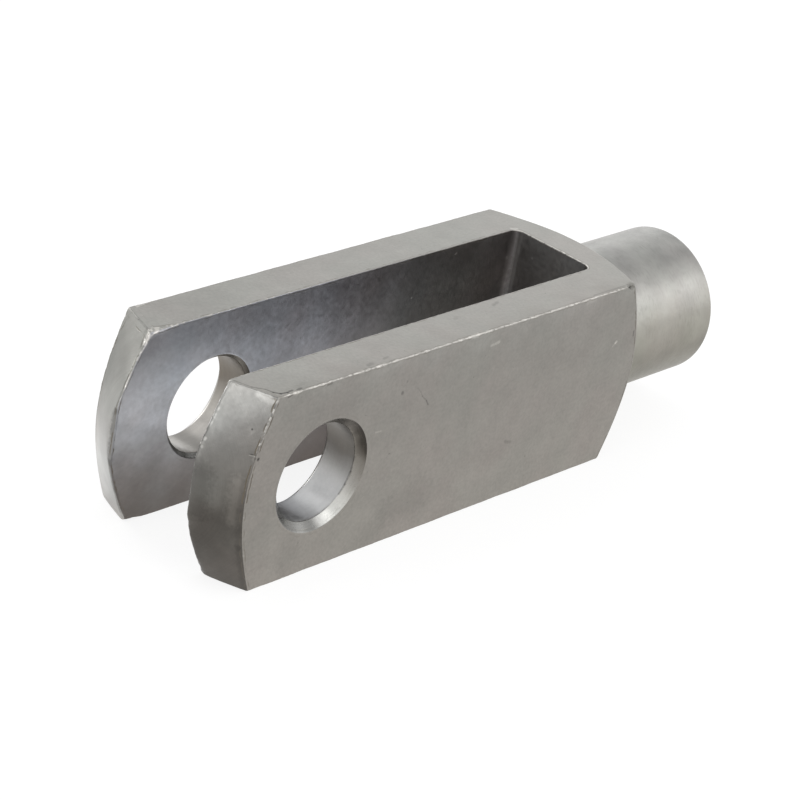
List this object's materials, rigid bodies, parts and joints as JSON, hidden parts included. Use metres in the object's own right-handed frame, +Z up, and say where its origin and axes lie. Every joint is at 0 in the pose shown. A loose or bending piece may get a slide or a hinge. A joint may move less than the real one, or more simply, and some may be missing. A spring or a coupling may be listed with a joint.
{
  "type": "tension rod clevis",
  "caption": "One-piece square fork head that screws onto a tension rod and takes a lug between its cheeks, held by a cross pin.",
  "frame": {"origin": "centre of the pin bore, which is also on the rod axis", "axes": "+X along the rod axis from the pin towards the threaded neck, +Y along the pin bore, +Z up, with the head lying on a bar face"},
  "size_m": [0.0735, 0.02, 0.02],
  "materials": {
    "steel": "bare machined steel: matt drawn bar faces, milled slot, turned ends and neck"
  },
  "bodies": {
    "root": {"fork_head": "steel"}
  },
  "joints": []
}
